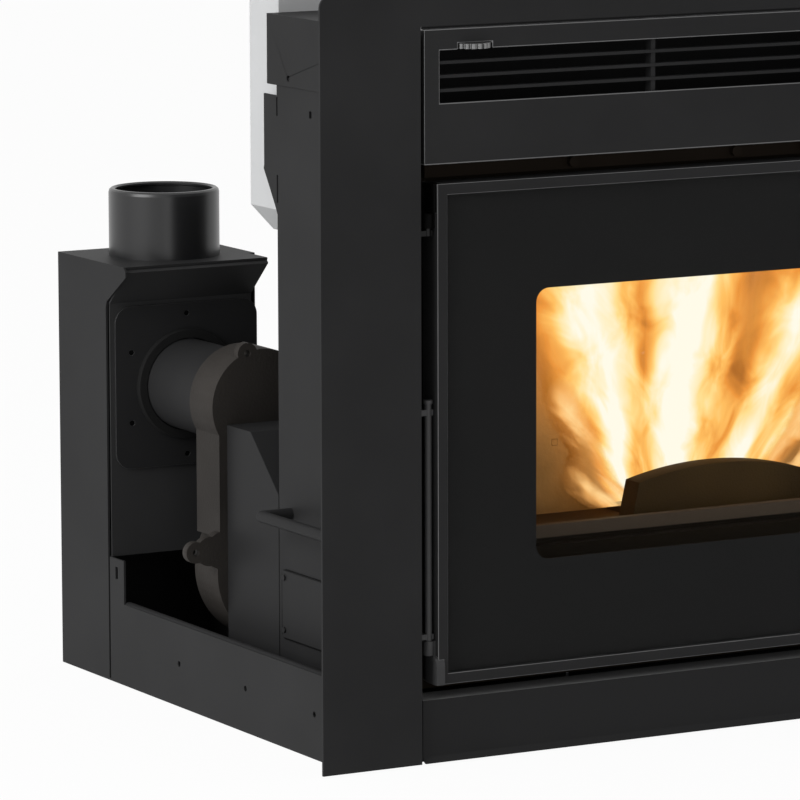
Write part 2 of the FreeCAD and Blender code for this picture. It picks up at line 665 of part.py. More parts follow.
tube = [("pipe_r - 2.5", "0"), ("pipe_r", "0"), ("pipe_r", "flange_y + 22 - cast_rear"),
        ("pipe_r - 2.5", "flange_y + 22 - cast_rear")]
node("exhaust_pipe", lathe("y", tube, "pipe_x", "cast_rear", "pipe_z"))


def vanes(axis_x, axis_z, inner, outer, thick, low, high, count, lean):
    """Straight fan blades round an axis along Y, leaning back by some degrees."""
    made = []
    for k in range(count):
        way = FreeCAD.Rotation(V(0, 1, 0), 360.0 * k / count).multVec(V(0, 0, 1))
        tip = FreeCAD.Rotation(V(0, 1, 0), 360.0 * k / count + lean).multVec(V(0, 0, 1))
        side = FreeCAD.Rotation(V(0, 1, 0), 360.0 * k / count + lean / 2 + 90).multVec(V(0, 0, 1))
        corners = []
        for reach, toward, sign in ((inner, way, -1), (outer, tip, -1), (outer, tip, 1), (inner, way, 1)):
            corners.append(("%s + %s * (%.6f) + %.6f" % (axis_x, reach, toward.x,
                                                         sign * thick / 2 * side.x),
                            "%s + %s * (%.6f) + %.6f" % (axis_z, reach, toward.z,
                                                         sign * thick / 2 * side.z)))
        made.append(prism("y", corners, low, high))
    return made


fan_disc = rod("y", "60", "fan_x", ("cast_rear - 12", "cast_rear - 10"), "fan_z")
fan_hub = rod("y", "12", "fan_x", ("cast_rear - 28", "cast_rear - 10"), "fan_z")
fan_shaft = rod("y", "4", "fan_x", ("cast_rear - 12", "cast_rear + 12"), "fan_z")
fan_blades = vanes("fan_x", "fan_z", "11", "59", 2.0, "cast_rear - 34", "cast_rear - 11", 8, -25.0)
node("exhaust_impeller", fuse(fan_disc, fan_hub, fan_shaft, *fan_blades))

motor_can = rod("y", "34", "fan_x", ("cast_rear + 2", "cast_rear + 52"), "fan_z")
motor_plate = rod("y", "42", "fan_x", ("cast_rear", "cast_rear + 3"), "fan_z")
motor_bore = rod("y", "4 + pin_gap", "fan_x", ("cast_rear - 2", "cast_rear + 13"), "fan_z")
node("exhaust_motor", cut(fuse(motor_can, motor_plate), motor_bore))


# Hopper: sheet bin with sloping bottom, hinged lid, feed trough with auger, drop chute.
HINGE_SPOTS = ("-hop_half + 68", "hop_half - 108")


def hopper():
    shape = [("-hop_half", "hop_top"), ("-hop_half", "hop_fold"), ("-hop_half + 22", "hop_fold - 23"),
             ("40", "hop_base"),
             ("200", "hop_base"), ("hop_half - 22", "hop_fold - 23"), ("hop_half", "hop_fold"),
             ("hop_half", "hop_top")]
    inner = [("-hop_half + hop_sheet", "hop_top + 5"), ("-hop_half + hop_sheet", "hop_fold + 1"),
             ("-hop_half + 23", "hop_fold - 21"), ("41", "hop_base + 2"), ("199", "hop_base + 2"),
             ("hop_half - 23", "hop_fold - 21"),
             ("hop_half - hop_sheet", "hop_fold + 1"), ("hop_half - hop_sheet", "hop_top + 5")]
    outer = prism("y", shape, "hop_front", "hop_rear")
    hollow = prism("y", inner, "hop_front + hop_sheet", "hop_rear - hop_sheet")
    drop = box(("50", "190"), ("aug_y - 14", "aug_y + 14"), ("hop_base - 4", "hop_base + 8"))
    bracket = [box((x, x + " + 30"), ("body_rear", "hop_front + 1"), ("hop_fold + 13", "hop_fold + 15"))
               for x in ("-hop_half + 38", "hop_half - 68")]
    hinges = []
    for x in HINGE_SPOTS:
        hinges.append(rod("x", "2", (x + " - 6", x + " + 46"), "hop_rear + 6", "hop_top + 2"))
        for low, high in ((x + " - 6", x + " - 1"), (x + " + 41", x + " + 46")):
            hinges.append(box((low, high), ("hop_rear - 1", "hop_rear + 9"),
                              ("hop_top - 14", "hop_top + 5")))
    return fuse(cut(fuse(outer, *bracket), hollow, drop), *hinges)


node("hopper", hopper())

lid_sheet = box(("-hop_half - 2", "hop_half + 2"), ("hop_front - 2", "hop_rear - 2"),
                ("hop_top + 0.5", "hop_top + 2"))
lid_pull = box(("-40", "40"), ("hop_front - 10", "hop_front"), ("hop_top + 0.5", "hop_top + 2"))
lid_knuckles = [rod("x", "4", (x, x + " + 40"), "hop_rear + 6", "hop_top + 2") for x in HINGE_SPOTS]
lid_leaves = [box((x, x + " + 40"), ("hop_rear - 4", "hop_rear + 6"), ("hop_top + 0.5", "hop_top + 2"))
              for x in HINGE_SPOTS]
lid_bores = [rod("x", "2 + pin_gap", (x + " - 5", x + " + 45"), "hop_rear + 6", "hop_top + 2")
             for x in HINGE_SPOTS]
node("hopper_lid", cut(fuse(lid_sheet, lid_pull, *(lid_knuckles + lid_leaves)), *lid_bores))


def trough():
    shell = rod("x", "aug_r + 4", ("-46", "236"), "aug_y", "aug_z")
    spout = box(("46", "194"), ("aug_y - 17", "aug_y + 17"), ("aug_z", "hop_base"))
    bore = rod("x", "aug_r + 1.5", ("-43", "233"), "aug_y", "aug_z")
    mouth = box(("50", "190"), ("aug_y - 14", "aug_y + 14"), ("aug_z", "hop_base + 8"))
    drop = box(("-40", "0"), ("aug_y - 15", "aug_y + 15"), ("aug_z - 30", "aug_z"))
    shaft = rod("x", "5 + pin_gap", ("-60", "250"), "aug_y", "aug_z")
    return cut(fuse(shell, spout), bore, mouth, drop, shaft)


node("feed_trough", trough())


def auger():
    """Helical flight wound on a shaft."""
    helix = doc.addObject("Part::Helix", "helix")
    bind(helix, "Pitch", "26")
    bind(helix, "Height", "250")
    bind(helix, "Radius", "aug_r - 6")
    section = outline("y", [("4.5", "-1.2"), ("aug_r", "-1.2"), ("aug_r", "1.2"), ("4.5", "1.2")])
    flight = doc.addObject("Part::Sweep", "flight")
    flight.Sections = [section]
    flight.Spine = (helix, ["Edge1"])
    flight.Solid = True
    flight.Frenet = True
    stem = doc.addObject("Part::Cylinder", "stem")
    bind(stem, "Radius", "5")
    bind(stem, "Height", "302")
    stem.Placement = FreeCAD.Placement(V(0, 0, -20), FreeCAD.Rotation())
    screw = fuse(flight, stem)
    screw.Placement = FreeCAD.Placement(V(0, 0, 0), FreeCAD.Rotation(V(0, 1, 0), 90))
    place(screw, "-32", "aug_y", "aug_z")
    return screw


node("auger", auger())

gear = box(("236", "262"), ("aug_y - 28", "aug_y + 28"), ("aug_z - 34", "aug_z + 22"))
gear_can = rod("x", "24", ("262", "312"), "aug_y", "aug_z - 8")
gear_bore = rod("x", "5 + pin_gap", ("230", "252"), "aug_y", "aug_z")
node("auger_motor", cut(fuse(gear, gear_can), gear_bore))

chute_out = [("aug_y - 18", "aug_z - 14"), ("aug_y + 18", "aug_z - 14"), ("aug_y + 18", "chute_high"),
             ("fire_rear", "chute_low + 2"),
             ("fire_rear", "chute_high - 2"), ("aug_y - 18", "chute_high + 16")]
chute_in = [("aug_y - 15", "aug_z"), ("aug_y + 15", "aug_z"), ("aug_y + 15", "chute_high + 2"),
            ("fire_rear - 1", "chute_low + 5"),
            ("fire_rear - 1", "chute_high - 5"), ("aug_y - 15", "chute_high + 13")]
chute_shell = cut(prism("x", chute_out, "-42", "2"), prism("x", chute_in, "-40", "0"),
                  rod("x", "aug_r + 4", ("-60", "20"), "aug_y", "aug_z"))
node("drop_chute", chute_shell)

# Room-air blower under the firebox: drum wheel, open housing and motor.
blow_bars = []
for k in range(12):
    way = FreeCAD.Rotation(V(1, 0, 0), 30.0 * k).multVec(V(0, 0, 1))
    blow_bars.append(rod("x", "2.2", ("-150", "150"), "blow_y + (blow_r - 3) * (%.6f)" % way.y,
                         "blow_z + (blow_r - 3) * (%.6f)" % way.z))
blow_discs = [rod("x", "blow_r", (x, x + " + 3"), "blow_y", "blow_z") for x in ("-153", "-1.5", "150")]
blow_shaft = rod("x", "4", ("-170", "190"), "blow_y", "blow_z")
node("blower_wheel", fuse(blow_shaft, *(blow_discs + blow_bars)))

house = []
for low, high in (("-166", "-163"), ("163", "166")):
    house.append(box((low, high), ("84", "152"), ("body_low + sheet", "93")))
house.append(box(("-166", "166"), ("149", "152"), ("body_low + sheet", "93")))
house_bore = rod("x", "4 + pin_gap", ("-180", "180"), "blow_y", "blow_z")
node("blower_housing", cut(fuse(*house), house_bore))

blow_can = rod("x", "22", ("172", "232"), "blow_y", "blow_z")
blow_foot = box(("180", "224"), ("blow_y - 14", "blow_y + 14"), ("body_low + sheet", "blow_z"))
blow_link = rod("x", "9", ("166", "174"), "blow_y", "blow_z")
blow_bore = rod("x", "4 + pin_gap", ("160", "192"), "blow_y", "blow_z")
node("blower_motor", cut(fuse(blow_can, blow_foot, blow_link), blow_bore))

# Door: steel pan, glass pane, printed mask behind it, gasket, hinge lugs, pull tab.
lug_face = [("-2", "door_low"), ("-2", "door_low + 16"), ("-1.2", "door_low + 19.5"),
            ("0.8", "door_low + 22.4"),
            ("3.6", "door_low + 24"), ("18", "door_low + 24"), ("18", "door_low")]
lug_face_up = [("2", "door_top"), ("2", "door_top - 24"), ("18", "door_top - 24"), ("18", "door_top")]


def lug(points, web, eye):
    """Plate let into the door's side, with an eye for the hinge pin on a strip beyond it."""
    plate_lug = prism("x", points, "-door_half - 2.5", "-door_half + 5.2")
    strip = box(("-door_half - 2.5", "-door_half"), ("hinge_y - 3", "hinge_y + 3"), web)
    barrel = rod("z", "pin_r + 1.6", "hinge_x", "hinge_y", eye)
    bore = rod("z", "pin_r + pin_gap", "hinge_x", "hinge_y", (eye[0] + " - 5", eye[1] + " + 5"))
    return cut(fuse(plate_lug, strip, barrel), bore)


def door_pan():
    block = box(("-door_half", "door_half"), ("0", "door_deep"), ("door_low", "door_top"))
    seat = box(("-door_half + rim", "door_half - rim"), ("-5", "1 + glass + 1"),
               ("door_low + rim", "door_top - rim"))
    back = box(("-door_half + rim", "door_half - rim"), ("9 + glass", "door_deep + 5"),
               ("door_low + rim", "door_top - rim"))
    view = box(("-win_half - 14", "win_half + 14"), ("-5", "door_deep + 5"),
               ("win_low - 14", "win_top + 14"))
    gaps = [prism("x", points, "-door_half - 5", "-door_half + 5.2") for points in (lug_face, lug_face_up)]
    return cut(block, seat, back, view, *gaps)


node("door_pan", door_pan())
node("door_glass",
     box(("-door_half + rim", "door_half - rim"), ("1", "1 + glass"), ("door_low + rim", "door_top - rim")))
mask = box(("-door_half + rim", "door_half - rim"), ("1 + glass", "2 + glass"),
           ("door_low + rim", "door_top - rim"))
mask_hole = box(("-win_half", "win_half"), ("-5", "20"), ("win_low", "win_top"))
node("glass_mask", cut(mask, rounded(mask_hole, size("win_round"), "y")))
seal = box(("-door_half + 22", "door_half - 22"), ("door_deep - 13", "fire_front + 2.6"),
           ("door_low + 22", "door_top - 22"))
seal_hole = box(("-door_half + 34", "door_half - 34"), ("0", "60"), ("door_low + 34", "door_top - 34"))
node("door_gasket", cut(seal, seal_hole))
node("hinge_lug_low", lug(lug_face, ("door_low + 10", "door_low + 37"), ("door_low + 25", "door_low + 37")))
node("hinge_lug_top",
     lug(lug_face_up, ("door_top - 37", "door_top - 10"), ("door_top - 37", "door_top - 25")))
pull = box(("door_half", "door_half + 9"), ("4", "6"), ("250", "310"))
pull_foot = box(("door_half", "door_half + 2"), ("4", "22"), ("250", "310"))
node("door_pull", fuse(pull, pull_foot))

# Hinge pins and the tongues that hold them on the left jamb.
low_pin = rod("z", "pin_r", "hinge_x", "hinge_y", ("door_low + 25", "306"))
low_cap = rod("z", "pin_r + 1", "hinge_x", "hinge_y", ("306", "309"))
top_pin = rod("z", "pin_r", "hinge_x", "hinge_y", ("door_top - 43.5", "door_top - 25"))
tongues = []
for low, high in (("door_low + 38.5", "door_low + 43"), ("296", "301"),
                  ("door_top - 43.5", "door_top - 39")):
    tongues.append(box(("-jamb_half", "hinge_x + 4"), ("hinge_y - 2", "hinge_y + 7"), (low, high)))
tongue_plate = box(("-jamb_half", "-jamb_half + 1.5"), ("hinge_y + 5", "fire_front"),
                   ("door_low + 34", "door_top - 34"))
node("hinge_post", fuse(tongue_plate, low_pin, low_cap, top_pin, *tongues))


# Carrying handles of bent round bar and screwed access plates on the casing sides.
def handle():
    reach = "-body_half - 28"
    legs = [rod("x", "grip_r", (reach, "-body_half"), deep, "189") for deep in ("60", "187")]
    grip = rod("y", "grip_r", reach, ("60", "187"), "189")
    ends = []
    for deep in ("60", "187"):
        ball = doc.addObject("Part::Sphere", "bend")
        bind(ball, "Radius", "grip_r")
        place(ball, reach, deep, "189")
        ends.append(ball)
    return fuse(grip, *(legs + ends))


pair("side_handle", handle)


def access_plate():
    face = box(("-body_half - 1.5", "-body_half"), ("70", "202"), ("78", "139"))
    face = rounded(face, 6.0, "x")
    screws = [rod("x", "2.6", ("-body_half - 3", "-body_half - 1"), deep, z) for deep in ("75", "197")
              for z in ("86", "131.8")]
    return fuse(face, *screws)


pair("access_plate", access_plate)


# Thumbwheel of the air flap: toothed disc on a spindle behind the top panel.
def thumbwheel():
    disc = rod("z", "wheel_r - 2.5", "wheel_x", "wheel_y", ("wheel_low", "wheel_top"))
    teeth = []
    for k in range(16):
        way = FreeCAD.Rotation(V(0, 0, 1), 22.5 * k).multVec(V(1, 0, 0))
        teeth.append(rod("z", "2.2", "wheel_x + (wheel_r - 2.2) * (%.6f)" % way.x,
                         "wheel_y + (wheel_r - 2.2) * (%.6f)" % way.y, ("wheel_low", "wheel_top")))
    spindle = rod("z", "3", "wheel_x", "wheel_y", ("wheel_low + 2.6", "wheel_top + 10.4"))
    head = rod("z", "4", "wheel_x", "wheel_y", ("wheel_top + 8.8", "wheel_top + 10.4"))
    return fuse(disc, spindle, head, *teeth)


node("thumbwheel", thumbwheel())

# Control box with mains inlet and switch at the rear right.
ctrl = box(("body_half - 130", "body_half - 4"), ("body_rear", "body_rear + 44"), ("60", "210"))
ctrl_hollow = box(("body_half - 128", "body_half - 6"), ("body_rear - 5", "body_rear + 42"), ("62", "208"))
ctrl_slots = []
for k in range(6):
    left = "body_half - %d" % (112 - 12 * k)
    ctrl_slots.append(box((left, left + " + 6"), ("body_rear + 30", "body_rear + 60"), ("150", "195")))
ctrl_hole = box(("body_half - 110", "body_half - 80"), ("body_rear + 30", "body_rear + 60"), ("80", "104"))
node("control_box", cut(ctrl, ctrl_hollow, ctrl_hole, *ctrl_slots))
inlet_face = box(("body_half - 114", "body_half - 76"), ("body_rear + 44", "body_rear + 46"), ("76", "108"))
inlet_cup = box(("body_half - 109.5", "body_half - 80.5"), ("body_rear + 24", "body_rear + 45"),
                ("80.5", "103.5"))
inlet_hollow = box(("body_half - 107", "body_half - 83"), ("body_rear + 28", "body_rear + 60"),
                   ("83", "101"))
node("power_inlet", cut(fuse(inlet_face, inlet_cup), inlet_hollow))

doc.recompute()
os.makedirs("parts", exist_ok=True)
for obj in doc.Objects:
    if "Invalid" in obj.State or "Error" in obj.State:
        raise RuntimeError("%s %s is %s" % (obj.Name, obj.Label, obj.State))
faults = []
for obj in NODES:
    if obj.Shape.isNull() or not obj.Shape.isValid():
        faults.append("bad shape in " + obj.Label)
    elif len(obj.Shape.Solids) != 1:
        faults.append("%s has %d solids" % (obj.Label, len(obj.Shape.Solids)))
    else:
        obj.Shape.exportStep(os.path.join("parts", obj.Label + ".step"))
if faults:
    raise RuntimeError("; ".join(faults))
print(len(NODES), "nodes")
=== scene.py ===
import bmesh
import bpy
import json
import math
from mathutils import Matrix, Vector


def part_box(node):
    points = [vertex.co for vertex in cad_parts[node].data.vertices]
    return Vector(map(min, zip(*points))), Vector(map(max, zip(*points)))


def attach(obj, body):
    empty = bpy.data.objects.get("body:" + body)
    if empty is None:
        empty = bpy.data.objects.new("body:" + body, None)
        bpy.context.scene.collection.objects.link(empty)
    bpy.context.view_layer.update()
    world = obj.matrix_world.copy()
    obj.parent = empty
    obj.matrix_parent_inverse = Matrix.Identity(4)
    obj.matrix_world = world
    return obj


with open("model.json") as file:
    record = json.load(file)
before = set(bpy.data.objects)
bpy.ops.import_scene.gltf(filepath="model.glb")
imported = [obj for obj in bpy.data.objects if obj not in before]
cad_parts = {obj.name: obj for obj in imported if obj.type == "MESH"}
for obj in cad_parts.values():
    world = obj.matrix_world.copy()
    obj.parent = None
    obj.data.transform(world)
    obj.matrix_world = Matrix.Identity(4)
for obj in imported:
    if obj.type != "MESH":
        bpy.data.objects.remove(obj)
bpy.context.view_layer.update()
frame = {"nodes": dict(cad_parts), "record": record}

NODES = frame["nodes"]
SLOT_OF = {part["node"]: part["material_slot"] for part in frame["record"]["subparts"]}
WHITE = (1.0, 1.0, 1.0, 1.0)

# Camera of the photograph, worked out from the straight edges of the surround.
CAMERA_AT = Vector((-2.6760, -4.4105, 1.0335))
CAMERA_RIGHT = Vector((0.87380, -0.48627, -0.00293))
CAMERA_UP = Vector((0.07583, 0.13031, 0.98856))
CAMERA_AHEAD = Vector((0.48033, 0.86403, -0.15074))
CAMERA_LENS = 259.7
CAMERA_SENSOR = 36.0
CAMERA_SHIFT_X = -0.0004
CAMERA_SHIFT_Y = 0.0011
CAMERA_REACH = 100.0


class Shader:
    """One node material around a Principled shader."""

    def __init__(self, name):
        self.material = bpy.data.materials.new(name)
        self.material.use_nodes = True
        self.tree = self.material.node_tree
        self.main = self.tree.nodes["Principled BSDF"]

    def add(self, kind, **values):
        made = self.tree.nodes.new(kind)
        for key, value in values.items():
            setattr(made, key, value)
        return made

    def link(self, source, target):
        self.tree.links.new(source, target)

    def set(self, **values):
        for key, value in values.items():
            self.main.inputs[key.replace("_", " ")].default_value = value

    def math(self, operation, *values):
        """Math node over sockets and plain numbers."""
        made = self.add("ShaderNodeMath", operation=operation)
        for target, value in zip(made.inputs, values):
            if isinstance(value, float):
                target.default_value = value
            else:
                self.link(value, target)
        return made.outputs["Value"]

    def axes(self, kind="place"):
        """X, Y and Z of a point on the piece or, for the kind normal, of the way it faces."""
        if kind == "normal":
            source = self.add("ShaderNodeNewGeometry").outputs["Normal"]
        else:
            source = self.add("ShaderNodeTexCoord").outputs["Object"]
        apart = self.add("ShaderNodeSeparateXYZ")
        self.link(source, apart.inputs["Vector"])
        return apart.outputs

    def noise(self, scale, detail, stretch=(1.0, 1.0, 1.0), place=None, distortion=0.0):
        """Noise over the piece's own coordinates, or over the socket given as place."""
        if place is None:
            place = self.add("ShaderNodeTexCoord").outputs["Object"]
        mapping = self.add("ShaderNodeMapping")
        mapping.inputs["Scale"].default_value = stretch
        texture = self.add("ShaderNodeTexNoise")
        texture.inputs["Scale"].default_value = scale
        texture.inputs["Detail"].default_value = detail
        texture.inputs["Distortion"].default_value = distortion
        self.link(place, mapping.inputs["Vector"])
        self.link(mapping.outputs["Vector"], texture.inputs["Vector"])
        return texture.outputs["Fac"]

    def ramp(self, source, stops):
        made = self.add("ShaderNodeValToRGB")
        points = made.color_ramp.elements
        while len(points) < len(stops):
            points.new(0.5)
        for point, (at, colour) in zip(points, stops):
            point.position = at
            point.color = (*colour, 1.0)
        self.link(source, made.inputs["Fac"])
        return made.outputs["Color"]

    def tint(self, source, stops):
        """Base colour from a ramp."""
        self.link(self.ramp(source, stops), self.main.inputs["Base Color"])

    def bump(self, source, distance):
        made = self.add("ShaderNodeBump")
        made.inputs["Distance"].default_value = distance
        made.inputs["Strength"].default_value = 1.0
        self.link(source, made.inputs["Height"])
        self.link(made.outputs["Normal"], self.main.inputs["Normal"])


# Paint and metal.
CLOUD_SCALE = 9.0
CLOUD_DETAIL = 3.0
CLOUD_STOPS = (0.3, 0.7)
GRAIN_DETAIL = 2.0
PAINT_GRAIN = 900.0
PAINT_DEPTH = 0.00004
PAINT_ROUGH = 0.52
PAINT_GLOSS = 0.07
BLACK = (0.021, 0.021, 0.0215)
# Near-black for the painted shade of the gaps round the access plates.
GAP_SHADE_BLACK = (0.002, 0.002, 0.002)
GAP_SHADE_WIDE = 0.0013


def shade(colour, factor):
    return tuple(min(1.0, part * factor) for part in colour)


def coated(name, colour, rough, spread=0.12, grain=PAINT_GRAIN, depth=PAINT_DEPTH, gloss=0.15, metal=0.0,
           stretch=(1.0, 1.0, 1.0)):
    """Painted, cast or bare metal: a mottled colour and a fine surface grain."""
    made = Shader(name)
    made.set(Roughness=rough, Metallic=metal, Specular_IOR_Level=gloss)
    stops = zip(CLOUD_STOPS, (shade(colour, 1.0 - spread), shade(colour, 1.0 + spread)))
    made.tint(made.noise(CLOUD_SCALE, CLOUD_DETAIL), list(stops))
    if depth:
        made.bump(made.noise(grain, GRAIN_DETAIL, stretch), depth)
    return made.material


def two_tone_or_painted_light(name, low, high, axis, edge, rough=PAINT_ROUGH, gloss=PAINT_GLOSS):
    """Paint with one colour where a part of the normal or place is below edge and another above; serves
    both two-tone colour and painted light and shade.
    """
    made = Shader(name)
    made.set(Roughness=rough, Specular_IOR_Level=gloss)
    kind, letter = axis.split()
    above = made.math("GREATER_THAN", made.axes(kind)[letter], edge)
    made.tint(above, [(0.0, low), (1.0, high)])
    made.bump(made.noise(PAINT_GRAIN, GRAIN_DETAIL), PAINT_DEPTH)
    return made.material


def gap_shade_outlined(name):
    """Paint of an access plate with a dark band painted round its edge, a painted shade of the gap."""
    made = Shader(name + "_paint")
    made.set(Roughness=PAINT_ROUGH, Specular_IOR_Level=PAINT_GLOSS)
    low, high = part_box(name)
    axes = made.axes()
    marks = []
    for letter, k in (("Y", 1), ("Z", 2)):
        away = made.math("ABSOLUTE", made.math("SUBTRACT", axes[letter], (low[k] + high[k]) / 2))
        marks.append(made.math("GREATER_THAN", away, (high[k] - low[k]) / 2 - GAP_SHADE_WIDE))
    # The near-black band round the edge is painted shade of the gap.
    made.tint(made.math("MAXIMUM", *marks), [(0.0, BLACK), (1.0, GAP_SHADE_BLACK)])
    made.bump(made.noise(PAINT_GRAIN, GRAIN_DETAIL), PAINT_DEPTH)
    return made.material


# Glass and fire boards.
GLASS_COVER = 0.03
SOOT_LOW = 0.17
SOOT_HIGH = 0.40
SOOT_CLOUD = 0.5
BOARD_GRAIN = 260.0
BOARD_DEPTH = 0.0004


def clear_glass():
    """Thin clear pane with a faint gloss."""
    made = Shader("clear_glass")
    made.set(Roughness=0.03, Specular_IOR_Level=0.1, Alpha=GLASS_COVER)
    haze = made.noise(scale=6.0, detail=2.0)
    made.tint(haze, [(0.3, (0.02, 0.02, 0.02)), (0.7, (0.024, 0.024, 0.024))])
    return made.material


def sooted_board():
    """Ochre board, dark with soot near the burner and clean higher up."""
    made = Shader("ochre_fire_board")
    made.set(Roughness=0.95, Specular_IOR_Level=0.05)
    rise = made.add("ShaderNodeMapRange")
    rise.inputs["From Min"].default_value = SOOT_LOW
    rise.inputs["From Max"].default_value = SOOT_HIGH
    made.link(made.axes()["Z"], rise.inputs["Value"])
    patches = made.noise(scale=14.0, detail=4.0)
    cloud = made.math("MULTIPLY_ADD", patches, SOOT_CLOUD, -SOOT_CLOUD / 2)
    made.tint(made.math("ADD", rise.outputs["Result"], cloud), [
        (0.0, (0.27, 0.165, 0.055)),
        (0.45, (0.80, 0.49, 0.18)),
        (1.0, (0.88, 0.62, 0.30)),
    ])
    made.bump(made.noise(BOARD_GRAIN, GRAIN_DETAIL), BOARD_DEPTH)
    return made.material


# Looks by material slot, and those of single pieces.
PAINT = coated("black_powder", BLACK, PAINT_ROUGH, gloss=PAINT_GLOSS)
# Paler, glossier paint for rounded edges: a painted highlight.
EDGE_HIGHLIGHT = coated("painted_edge_highlight", (0.13, 0.13, 0.132), rough=0.3, depth=0.0, gloss=0.4)
LOOKS = {
    "black_paint": PAINT,
    "cast": coated("dark_casting", (0.062, 0.037, 0.0125), rough=0.75, spread=0.3, grain=500.0,
                   depth=0.0003, gloss=0.06),
    "grey_sheet": coated("pale_grey_sheet", (0.50, 0.505, 0.51), rough=0.5, spread=0.03),
    "fire_board": sooted_board(),
    "steel": coated("bright_steel", (0.42, 0.42, 0.43), rough=0.35, spread=0.08, grain=600.0,
                    depth=0.00003, gloss=0.5, metal=0.9, stretch=(1.0, 12.0, 12.0)),
    "motor": coated("motor_shell", (0.25, 0.25, 0.26), rough=0.4, spread=0.1, grain=500.0,
                    depth=0.00005, gloss=0.5, metal=0.7),
    "glass": clear_glass(),
    "black_print": coated("black_print", (0.0135, 0.0135, 0.0135), rough=0.6, spread=0.05, depth=0.0,
                          gloss=0.05),
    "gasket": coated("rope_gasket", (0.05, 0.048, 0.045), rough=0.95, spread=0.35, grain=420.0,
                     depth=0.0008, gloss=0.05),
    "black_plastic": coated("moulded_black", (0.012, 0.012, 0.012), rough=0.35, spread=0.1, grain=1500.0,
                            depth=0.00002),
}
# Near-black strip along the front edge of the fan box: painted shade of the seam gap.
SEAM_SHADE_WIDE = 0.0012
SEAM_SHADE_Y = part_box("fan_box")[0][1] + SEAM_SHADE_WIDE
BOARD_SKIN = 0.0005
BOARD_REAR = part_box("fire_board_back")[1][1] - BOARD_SKIN
POST_SHADED = 0.32
SILL_LEDGE = 0.1725
FACING_UP = 0.9
SPECIAL = {
    "pipe_seal": coated("graphite_seal", (0.012, 0.012, 0.012), rough=0.8, spread=0.2, grain=420.0,
                        depth=0.0002, gloss=0.05),
    "drop_chute": coated("sooty_chute", (0.06, 0.045, 0.03), rough=0.8, spread=0.25),
    "flue_collar": coated("collar_paint", (0.010, 0.010, 0.0105), rough=0.30, spread=0.08, depth=0.00002,
                          gloss=0.5),
    "header_strip": coated("warm_header", (0.014, 0.01, 0.007), rough=0.7, spread=0.2, gloss=0.05),
    "exhaust_casting": coated("brown_casting", (0.029, 0.026, 0.0235), rough=0.6, spread=0.25, grain=420.0,
                              depth=0.0003, gloss=0.1),
    # Hinge post: steel colour below POST_SHADED and near-black above it, a painted shade.
    "hinge_post": two_tone_or_painted_light("hinge_steel_shaded_top", (0.05, 0.05, 0.051), (0.0025, 0.0025, 0.0025),
                           "place Z", POST_SHADED, rough=0.4, gloss=0.2),
    "hinge_lug_low": coated("lug_paint", (0.045, 0.045, 0.046), rough=0.4),
    "hinge_lug_top": coated("shaded_lug", (0.0025, 0.0025, 0.0025), rough=0.6, gloss=0.03),
    # Plinth: faces pointing up are far paler than the rest, a painted light on the top face.
    "bottom_panel": two_tone_or_painted_light("plinth_paint_lit_top", (0.0195, 0.0195, 0.02), (0.24, 0.24, 0.24),
                             "normal Z", FACING_UP),
    # Fan box: black paint with a near-black strip at its front edge, a painted shade of the seam.
    "fan_box": two_tone_or_painted_light("fan_box_seam_shade", (0.003, 0.003, 0.003), BLACK, "place Y", SEAM_SHADE_Y),
    "access_plate_left": gap_shade_outlined("access_plate_left"),
    "access_plate_right": gap_shade_outlined("access_plate_right"),
    # Column front: a paler copy of the black paint, painted light.
    "column_front": coated("column_paint_lit", (0.031, 0.031, 0.0315), PAINT_ROUGH, gloss=PAINT_GLOSS),
    # Flange plate: a darker copy of the black paint, painted shade.
    "flange_plate": coated("flange_paint_shaded", (0.018, 0.018, 0.0185), PAINT_ROUGH, gloss=PAINT_GLOSS),
    "thumbwheel": coated("toothed_wheel", (0.16, 0.16, 0.16), rough=0.4, spread=0.1, depth=0.00003,
                         gloss=0.5, metal=0.8),
    "firebox": two_tone_or_painted_light("sooty_steel", (0.012, 0.009, 0.006), (0.34, 0.22, 0.09),
                        "place Y", BOARD_REAR, rough=0.8, gloss=0.05),
    # Sill bars: dark brown below the ledge height and a paler tone above it, a painted light.
    "fire_sill": two_tone_or_painted_light("sill_bars_lit_top", (0.012, 0.0085, 0.0048), (0.080, 0.060, 0.042),
                          "place Z", SILL_LEDGE, rough=0.6, gloss=0.05),
}

# Rounded edges; those of the highlighted pieces get a paler, glossier paint, a painted highlight.
BEVELLED = {
    "surround", "top_panel", "bottom_panel", "door_pan", "base_tray", "top_cover", "fan_box",
    "casing_side_left", "casing_side_right", "hinge_lug_low", "hinge_lug_top", "hopper", "hopper_lid",
    "burner_shield", "flange_plate", "exhaust_casting", "control_box",
}
HIGHLIGHTED = {"top_panel", "door_pan", "hinge_lug_low", "flange_plate"}
EDGE_ROUND = 0.0006
HIGHLIGHTED_ROUND = 0.0009
EDGE_ANGLE = math.radians(40)
EDGE_STEPS = 2
JOIN_WITHIN = 0.000002


def round_edges(name, obj):
    joined = obj.modifiers.new("joined_corners", "WELD")
    joined.merge_threshold = JOIN_WITHIN
    edge = obj.modifiers.new("edge_round", "BEVEL")
    edge.width = HIGHLIGHTED_ROUND if name in HIGHLIGHTED else EDGE_ROUND
    edge.segments = EDGE_STEPS
    edge.limit_method = "ANGLE"
    edge.harden_normals = True
    edge.angle_limit = EDGE_ANGLE
    # The rounds of these pieces get the paler paint, a painted highlight.
    if name in HIGHLIGHTED:
        obj.data.materials.append(EDGE_HIGHLIGHT)
        edge.material = len(obj.data.materials) - 1


for name, obj in NODES.items():
    look = SPECIAL.get(name, LOOKS[SLOT_OF[name]])
    if obj.material_slots:
        for spot in obj.material_slots:
            spot.material = look
    else:
        obj.data.materials.append(look)
    if name in BEVELLED:
        round_edges(name, obj)


